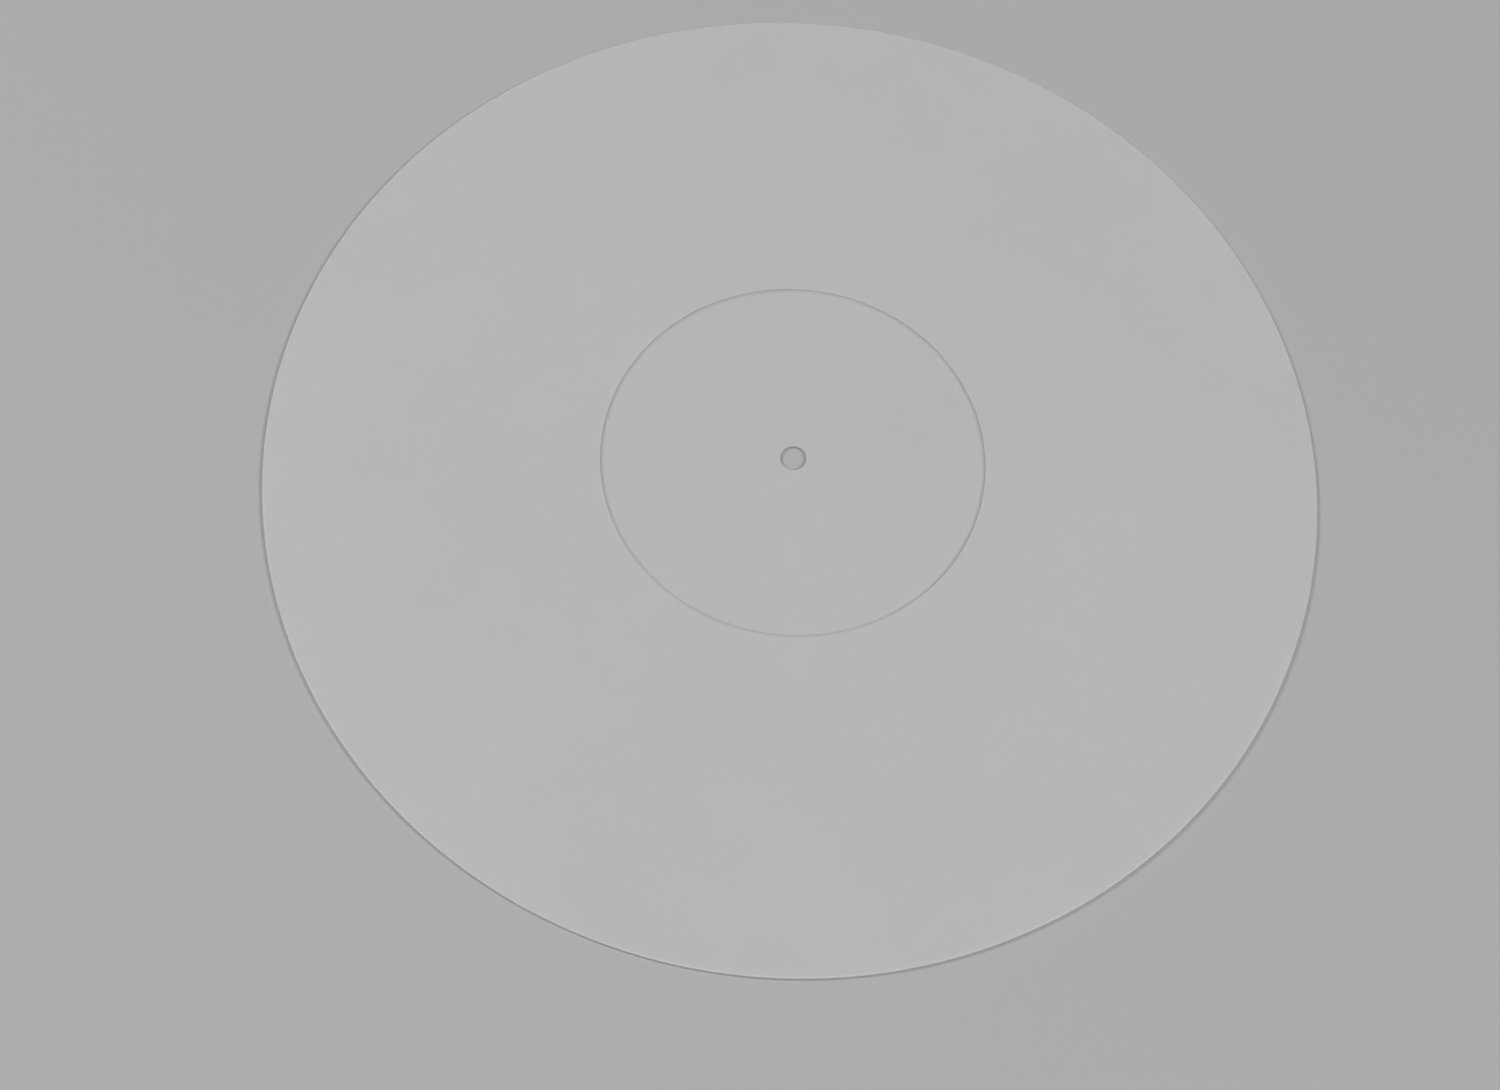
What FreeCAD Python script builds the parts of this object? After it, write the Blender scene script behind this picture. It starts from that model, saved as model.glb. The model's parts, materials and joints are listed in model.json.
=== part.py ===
import FreeCAD, Part
import math
import os

# Turntable mat: one disc of rigid white plastic sheet that lies on a record player's platter.
# It has a spindle hole and a shallow recess that leaves room for a record's raised label.
# A fine relief groove runs round the recess floor, at the foot of its wall.
# Millimetres. The origin is at the middle of the underside, on the spindle's axis, and +Z is up.

# Disc
mat_diameter = 295.0            # a little less than a 12 inch record
mat_thickness = 1.5             # full sheet, outside the recess
top_edge_round = 0.5            # soft edge round the record face
bottom_edge_round = 0.15        # broken edge round the underside

# Label recess, turned into the record face
recess_diameter = 108.0         # clears a 100 mm label
recess_depth = 0.3
recess_lip_round = 0.05         # deburred lip at the record face

# Relief groove in the recess floor, turned with a round-nosed tool
groove_width = 0.85
groove_depth = 0.12             # below the recess floor
groove_edge_round = 0.05        # deburred inner edge, at the recess floor

# Spindle hole, right through
hole_diameter = 7.3             # slides over a 7.15 mm spindle
hole_top_chamfer = 0.15         # at the recess floor, leads the spindle in
hole_bottom_chamfer = 0.1       # at the underside

# Heights and radii that follow from them
mat_radius = mat_diameter / 2
recess_radius = recess_diameter / 2
hole_radius = hole_diameter / 2
floor_height = mat_thickness - recess_depth
groove_height = floor_height - groove_depth
groove_inner_radius = recess_radius - groove_width
outer_corner_radius = min(groove_depth, groove_width / 2)      # runs out in the recess wall
inner_corner_radius = outer_corner_radius - groove_edge_round  # runs out in the deburred edge


def section_point(radius, height):
    """A point of the half section, which lies in the XZ plane."""
    return FreeCAD.Vector(radius, 0, height)


def quarter_round(centre_radius, centre_height, round_radius, start_deg, end_deg):
    """A quarter circle of the half section about its centre, with angles from +X towards +Z."""
    points = []
    for degrees in (start_deg, (start_deg + end_deg) / 2, end_deg):
        angle = math.radians(degrees)
        points.append(section_point(centre_radius + round_radius * math.cos(angle),
                                    centre_height + round_radius * math.sin(angle)))
    return Part.Arc(points[0], points[1], points[2]).toShape()


def joined(pieces):
    """Arcs and corner points in order, with straight lines between those that don't meet yet."""
    edges = []
    for number, piece in enumerate(pieces):
        following = pieces[(number + 1) % len(pieces)]
        if isinstance(piece, Part.Edge):
            edges.append(piece)
            piece_end = piece.lastVertex().Point
        else:
            piece_end = piece
        if isinstance(following, Part.Edge):
            next_start = following.firstVertex().Point
        else:
            next_start = following
        if piece_end.distanceToPoint(next_start) > 1e-6:
            edges.append(Part.LineSegment(piece_end, next_start).toShape())
    return Part.Wire(edges)


def half_section():
    """The mat's section from the spindle hole to the rim, anticlockwise from the underside."""
    underside_rim = quarter_round(mat_radius - bottom_edge_round, bottom_edge_round,
                                  bottom_edge_round, -90, 0)
    face_rim = quarter_round(mat_radius - top_edge_round, mat_thickness - top_edge_round,
                             top_edge_round, 0, 90)
    recess_lip = quarter_round(recess_radius + recess_lip_round, mat_thickness - recess_lip_round,
                               recess_lip_round, 90, 180)
    groove_outer_corner = quarter_round(recess_radius - outer_corner_radius,
                                        groove_height + outer_corner_radius,
                                        outer_corner_radius, 0, -90)
    groove_inner_corner = quarter_round(groove_inner_radius + inner_corner_radius,
                                        groove_height + inner_corner_radius,
                                        inner_corner_radius, -90, -180)
    groove_inner_edge = quarter_round(groove_inner_radius - groove_edge_round,
                                      floor_height - groove_edge_round,
                                      groove_edge_round, 0, 90)
    return joined([
        section_point(hole_radius + hole_bottom_chamfer, 0),
        underside_rim,
        face_rim,
        recess_lip,
        groove_outer_corner,
        groove_inner_corner,
        groove_inner_edge,
        section_point(hole_radius + hole_top_chamfer, floor_height),
        section_point(hole_radius, floor_height - hole_top_chamfer),
        section_point(hole_radius, hole_bottom_chamfer),
    ])


def turned(section):
    """The half section swung once round the spindle's axis."""
    return Part.Face(section).revolve(FreeCAD.Vector(0, 0, 0), FreeCAD.Vector(0, 0, 1), 360)


mat = turned(half_section())

os.makedirs("parts", exist_ok=True)
mat.exportStep("parts/mat.step")
print("mat", mat.ShapeType, "valid", mat.isValid(), "volume mm3", round(mat.Volume, 1))
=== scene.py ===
import bpy
import bmesh
import json
from math import cos, pi, radians, sin
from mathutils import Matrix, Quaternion, Vector


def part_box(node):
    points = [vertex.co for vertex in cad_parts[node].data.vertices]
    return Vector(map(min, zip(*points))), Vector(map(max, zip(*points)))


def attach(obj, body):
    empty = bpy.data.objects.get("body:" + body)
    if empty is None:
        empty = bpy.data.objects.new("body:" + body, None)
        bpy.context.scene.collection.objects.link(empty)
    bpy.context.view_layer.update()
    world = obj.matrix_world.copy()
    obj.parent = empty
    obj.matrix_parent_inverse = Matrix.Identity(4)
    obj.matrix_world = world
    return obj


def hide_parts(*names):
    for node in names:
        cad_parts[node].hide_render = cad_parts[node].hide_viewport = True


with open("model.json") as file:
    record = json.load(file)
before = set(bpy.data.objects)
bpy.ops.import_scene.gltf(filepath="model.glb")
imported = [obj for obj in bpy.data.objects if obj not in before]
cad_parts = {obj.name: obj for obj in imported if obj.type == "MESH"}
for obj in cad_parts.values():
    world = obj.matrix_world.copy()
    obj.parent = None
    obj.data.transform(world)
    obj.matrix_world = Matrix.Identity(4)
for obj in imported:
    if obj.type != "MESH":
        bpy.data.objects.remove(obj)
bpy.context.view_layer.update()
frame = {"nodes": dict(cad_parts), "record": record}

mm = 0.001


def recordMount(name):
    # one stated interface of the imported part
    return next(mount for mount in frame["record"]["mounts"] if mount["name"] == name)


def heightsBetween(inner, outer):
    # heights of the solid's points in a ring round the spindle's axis, without the underside's
    points = [vertex.co for vertex in frame["nodes"]["mat"].data.vertices]
    return [point.z for point in points if inner < point.xy.length < outer and point.z > 0.1 * mm]


# the real mat's outer size, hole and recess, read off the frame
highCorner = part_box("mat")[1]
spindleRadius = recordMount("spindle_hole")["dims"]["r_mm"] * mm
recessRadius = recordMount("label_recess")["dims"]["r_mm"] * mm

matBody = {
    "radius": highCorner.x,
    "thickness": highCorner.z,
    "grooveWidth": 0.85 * mm,
    "faceEdgeRound": 0.5 * mm,
    "undersideEdgeRound": 0.15 * mm,
    "recessLipRound": 0.05 * mm,
    "grooveEdgeRound": 0.05 * mm,
    "holeTopChamfer": 0.15 * mm,
    "holeBottomChamfer": 0.1 * mm,
    "roundSegments": 5,
    "turns": 384,  # steps of the spin round the spindle's axis
    "sharpAngle": radians(30),
    "levelNormal": 0.999,  # a face counts as level from this upright a normal
}
matBody["floorHeight"] = max(heightsBetween(0.0, recessRadius / 2))
matBody["grooveHeight"] = min(heightsBetween(recessRadius - matBody["grooveWidth"], recessRadius))


def matSection(bm):
    # half the mat's section as sharp corners, then each corner gets its own edge
    steps = matBody["roundSegments"]
    edge = matBody["grooveEdgeRound"]
    noseRound = matBody["floorHeight"] - matBody["grooveHeight"]  # the tool that turns the groove
    grooveInside = recessRadius - matBody["grooveWidth"]
    corners = [
        (spindleRadius, 0.0, matBody["holeBottomChamfer"], 1),
        (matBody["radius"], 0.0, matBody["undersideEdgeRound"], steps),
        (matBody["radius"], matBody["thickness"], matBody["faceEdgeRound"], steps),
        (recessRadius, matBody["thickness"], matBody["recessLipRound"], steps),
        (recessRadius, matBody["grooveHeight"], noseRound, steps),
        (grooveInside, matBody["grooveHeight"], noseRound - edge, steps),
        (grooveInside, matBody["floorHeight"], edge, steps),
        (spindleRadius, matBody["floorHeight"], matBody["holeTopChamfer"], 1),
    ]
    verts = [bm.verts.new((radius, 0.0, height)) for radius, height, _, _ in corners]
    bm.faces.new(verts)
    for vert, (_, _, cut, segments) in zip(verts, corners):
        bmesh.ops.bevel(bm, geom=[vert], offset=cut, offset_type="OFFSET", segments=segments,
                        profile=0.5, affect="VERTICES", material=-1)
    bmesh.ops.delete(bm, geom=bm.faces[:], context="FACES_ONLY")


def finishFor(face):
    # the finish that a face of the mat has, by its material's name
    middle = face.calc_center_median()
    reach = middle.xy.length
    overGroove = recessRadius - matBody["grooveWidth"] < reach < recessRadius
    # faces over the groove get the groove colour, darkened with painted shade
    if overGroove and middle.z > matBody["thickness"] / 2:
        return "grooveWithPaintedShade"
    if abs(face.normal.z) < matBody["levelNormal"]:
        return "turnedEdge"
    if face.normal.z > 0 and reach < recessRadius:
        return "machinedFloor"
    return "satinSheet"


def putInOrder(bm):
    # the spin lists edges and faces in a new order each run, so both are sorted by their vertices
    bm.verts.index_update()
    vertCount = len(bm.verts)

    def placeInList(part):
        indexes = [vert.index for vert in part.verts]
        return min(indexes) * vertCount + max(indexes)

    bm.edges.sort(key=placeInList)
    bm.faces.sort(key=placeInList)


def buildMat(finishes):
    bm = bmesh.new()
    matSection(bm)
    bmesh.ops.spin(bm, geom=bm.edges[:] + bm.verts[:], cent=(0, 0, 0), axis=(0, 0, 1),
                   angle=2 * pi, steps=matBody["turns"], use_merge=True)
    bmesh.ops.remove_doubles(bm, verts=bm.verts[:], dist=0.001 * mm)
    bmesh.ops.recalc_face_normals(bm, faces=bm.faces[:])
    putInOrder(bm)
    finishNames = [finish.name for finish in finishes]
    for face in bm.faces:
        face.smooth = True
        face.material_index = finishNames.index(finishFor(face))
    for edge in bm.edges:
        edge.smooth = edge.calc_face_angle(0.0) < matBody["sharpAngle"]
    mesh = bpy.data.meshes.new("matDisc")
    bm.to_mesh(mesh)
    bm.free()
    disc = bpy.data.objects.new("matDisc", mesh)
    bpy.context.scene.collection.objects.link(disc)
    for finish in finishes:
        mesh.materials.append(finish)
    flatNormals = disc.modifiers.new("keepFlatsFlat", "WEIGHTED_NORMAL")
    flatNormals.keep_sharp = True
    return disc


def addNode(tree, kind, **values):
    # a shader node with its sockets or its own settings filled in by name
    node = tree.nodes.new("ShaderNode" + kind)
    for name, value in values.items():
        if name in node.inputs:
            node.inputs[name].default_value = value
        else:
            setattr(node, name, value)
    return node


matFinish = {
    "white": (0.474, 0.474, 0.474),
    "cloudiness": 0.012,  # how much the colour drifts across the sheet
    "cloudSize": 0.06,
    "cloudDetail": 3.0,
    "cloudEnds": (0.3, 0.7),  # the noise values where the drift is fully dark and fully pale
    "sheetRoughness": 0.42,
    "roughnessDrift": 0.04,
    "grainSize": 0.45 * mm,
    "grainHeight": 0.004 * mm,
    "glow": 0.5,  # light that soaks into the plastic
    "glowReach": (2.0 * mm, 2.0 * mm, 2.0 * mm),
    "refraction": 1.49,
}


def plasticFinish(name, shade, roughness):
    # the white plastic that all the finishes share: soft cloudy colour and a satin skin
    finish = bpy.data.materials.new(name)
    finish.use_nodes = True
    tree = finish.node_tree
    shader = tree.nodes["Principled BSDF"]
    shader.inputs["Subsurface Weight"].default_value = matFinish["glow"]
    shader.inputs["Subsurface Radius"].default_value = matFinish["glowReach"]
    shader.inputs["Subsurface Scale"].default_value = 1.0
    shader.inputs["IOR"].default_value = matFinish["refraction"]
    place = addNode(tree, "TexCoord").outputs["Object"]
    clouds = addNode(tree, "TexNoise", Scale=1 / matFinish["cloudSize"], Detail=matFinish["cloudDetail"])
    tree.links.new(place, clouds.inputs["Vector"])
    tint = addNode(tree, "ValToRGB")
    drift = matFinish["cloudiness"]
    for end, position, change in zip(tint.color_ramp.elements, matFinish["cloudEnds"], (-drift, drift)):
        end.position = position
        end.color = [shade * part * (1 + change) for part in matFinish["white"]] + [1]
    tree.links.new(clouds.outputs["Fac"], tint.inputs["Fac"])
    tree.links.new(tint.outputs["Color"], shader.inputs["Base Color"])
    sheen = addNode(tree, "MapRange")
    sheen.inputs["To Min"].default_value = roughness - matFinish["roughnessDrift"]
    sheen.inputs["To Max"].default_value = roughness + matFinish["roughnessDrift"]
    tree.links.new(clouds.outputs["Fac"], sheen.inputs["Value"])
    tree.links.new(sheen.outputs["Result"], shader.inputs["Roughness"])
    return finish, tree, shader, place


def satinSheet():
    # the record face and the underside: the sheet's own fine satin grain
    finish, tree, shader, place = plasticFinish("satinSheet", 1.0, matFinish["sheetRoughness"])
    grain = addNode(tree, "TexNoise", Scale=1 / matFinish["grainSize"], Detail=2.0, Roughness=0.6)
    tree.links.new(place, grain.inputs["Vector"])
    bump = addNode(tree, "Bump", Strength=1.0, Distance=matFinish["grainHeight"])
    tree.links.new(grain.outputs["Fac"], bump.inputs["Height"])
    tree.links.new(bump.outputs["Normal"], shader.inputs["Normal"])
    return finish


# what the cutter leaves: how bright beside the sheet's own skin, how rough, and its fine lines; the
# groove's darker shade is painted shade that stands in for the shade falling inside it
cutFinish = {
    "machinedFloor": {
        "shade": 0.985, "roughness": 0.5, "pitch": 0.3 * mm, "height": 0.003 * mm, "across": "RINGS",
    },
    "turnedEdge": {
        "shade": 0.97, "roughness": 0.46, "pitch": 0.12 * mm, "height": 0.002 * mm, "across": "BANDS",
    },
    # painted shade: the groove is coloured darker to stand in for the shade that falls inside it; its
    # roughness and rings are the cut's own
    "grooveWithPaintedShade": {
        "shade": 0.885, "roughness": 0.6, "pitch": 0.15 * mm, "height": 0.002 * mm, "across": "RINGS",
    },
}
wavePeriod = pi / 10  # what a wave texture repeats at, at a scale of 1


def turnedFinish(name):
    # cut plastic with the cutter's faint lines: rings across a flat, bands round an upright face
    look = cutFinish[name]
    finish, tree, shader, place = plasticFinish(name, look["shade"], look["roughness"])
    lines = addNode(tree, "TexWave", wave_type=look["across"], rings_direction="Z", bands_direction="Z",
                    Scale=wavePeriod / look["pitch"], Distortion=0.5, Detail=1.0)
    tree.links.new(place, lines.inputs["Vector"])
    bump = addNode(tree, "Bump", Strength=1.0, Distance=look["height"])
    tree.links.new(lines.outputs["Fac"], bump.inputs["Height"])
    tree.links.new(bump.outputs["Normal"], shader.inputs["Normal"])
    return finish


tableLook = {
    "width": 6.0,
    "grey": (0.38, 0.38, 0.38),
    "roughness": 0.8,
    "drop": 0.02 * mm,  # how far it lies under the mat, so that the two faces never share one plane
}


def layTable():
    bm = bmesh.new()
    bmesh.ops.create_grid(bm, x_segments=1, y_segments=1, size=tableLook["width"] / 2)
    mesh = bpy.data.meshes.new("tableTop")
    bm.to_mesh(mesh)
    bm.free()
    table = bpy.data.objects.new("tableTop", mesh)
    table.location.z = -tableLook["drop"]
    bpy.context.scene.collection.objects.link(table)
    paint = bpy.data.materials.new("paleTable")
    paint.use_nodes = True
    shader = paint.node_tree.nodes["Principled BSDF"]
    shader.inputs["Base Color"].default_value = (*tableLook["grey"], 1)
    shader.inputs["Roughness"].default_value = tableLook["roughness"]
    mesh.materials.append(paint)


lightLook = {
    # soft boxes: degrees round from +X, degrees above the table, metres away, share of all the light
    "boxes": {
        "leftBox": {"turn": 176, "rise": 50, "reach": 3.5, "share": 0.33},
        "rightBox": {"turn": -12, "rise": 50, "reach": 6.0, "share": 0.35},
        "frontBox": {"turn": -90, "rise": 58, "reach": 6.0, "share": 0.31},
    },
    "spread": 0.36,  # a box's side beside its reach
    "skyStrength": 0.07,  # the sky's share
    "skyGrey": (1.0, 1.0, 1.0),
    "seenGrey": (0.42, 0.42, 0.42),  # what the camera and reflections see past the table
}


def hangLights():
    # the boxes' shares and the sky's add up to about 1, and then a colour renders about as written
    for name, box in lightLook["boxes"].items():
        rise, turn, reach = radians(box["rise"]), radians(box["turn"]), box["reach"]
        lamp = bpy.data.lights.new(name, "AREA")
        lamp.shape = "SQUARE"
        lamp.size = lightLook["spread"] * reach
        lamp.energy = box["share"] * pi ** 2 * reach ** 2 / sin(rise)
        light = bpy.data.objects.new(name, lamp)
        light.location = reach * Vector((cos(rise) * cos(turn), cos(rise) * sin(turn), sin(rise)))
        light.rotation_mode = "QUATERNION"
        light.rotation_quaternion = (-light.location).to_track_quat("-Z", "Y")
        bpy.context.scene.collection.objects.link(light)


def paintSky():
    # even light from all round; the camera and reflections see a pale wall instead
    world = bpy.data.worlds.new("softRoom")
    bpy.context.scene.world = world
    world.use_nodes = True
    tree = world.node_tree
    tree.nodes.clear()
    out = addNode(tree, "OutputWorld")
    sky = addNode(tree, "Background", Color=(*lightLook["skyGrey"], 1), Strength=lightLook["skyStrength"])
    wall = addNode(tree, "Background", Color=(*lightLook["seenGrey"], 1), Strength=1.0)
    path = addNode(tree, "LightPath")
    cameraOrGloss = addNode(tree, "Math", operation="MAXIMUM")
    seen = addNode(tree, "Math", operation="MAXIMUM")
    pick = addNode(tree, "MixShader")
    tree.links.new(path.outputs["Is Camera Ray"], cameraOrGloss.inputs[0])
    tree.links.new(path.outputs["Is Glossy Ray"], cameraOrGloss.inputs[1])
    tree.links.new(cameraOrGloss.outputs[0], seen.inputs[0])
    tree.links.new(path.outputs["Is Transmission Ray"], seen.inputs[1])
    tree.links.new(seen.outputs[0], pick.inputs["Fac"])
    tree.links.new(sky.outputs[0], pick.inputs[1])
    tree.links.new(wall.outputs[0], pick.inputs[2])
    tree.links.new(pick.outputs[0], out.inputs["Surface"])


viewLook = {
    "lens": 56.36,
    "clip": (0.01, 20.0),
    "standsAt": (0.0, -0.28802, 0.59186),  # from the middle of the record face
    "aimsAt": (-0.00892, -0.02821, 0.0),
    "leanDegrees": 5.14,
}


def setCamera():
    face = Vector((0, 0, matBody["thickness"]))
    lens = bpy.data.cameras.new("tableView")
    lens.lens = viewLook["lens"]
    lens.clip_start, lens.clip_end = viewLook["clip"]
    camera = bpy.data.objects.new("tableView", lens)
    camera.location = face + Vector(viewLook["standsAt"])
    look = face + Vector(viewLook["aimsAt"]) - camera.location
    lean = Quaternion((0, 0, 1), radians(viewLook["leanDegrees"]))
    camera.rotation_mode = "QUATERNION"
    camera.rotation_quaternion = look.to_track_quat("-Z", "Y") @ lean
    bpy.context.scene.collection.objects.link(camera)
    bpy.context.scene.camera = camera


setCamera()
print("camera set")

disc = buildMat([satinSheet()] + [turnedFinish(name) for name in cutFinish])
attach(disc, "root")
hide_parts("mat")
print("mat turned and finished")

layTable()
hangLights()
paintSky()
bpy.context.scene.view_settings.view_transform = "Standard"
print("table and light ready")
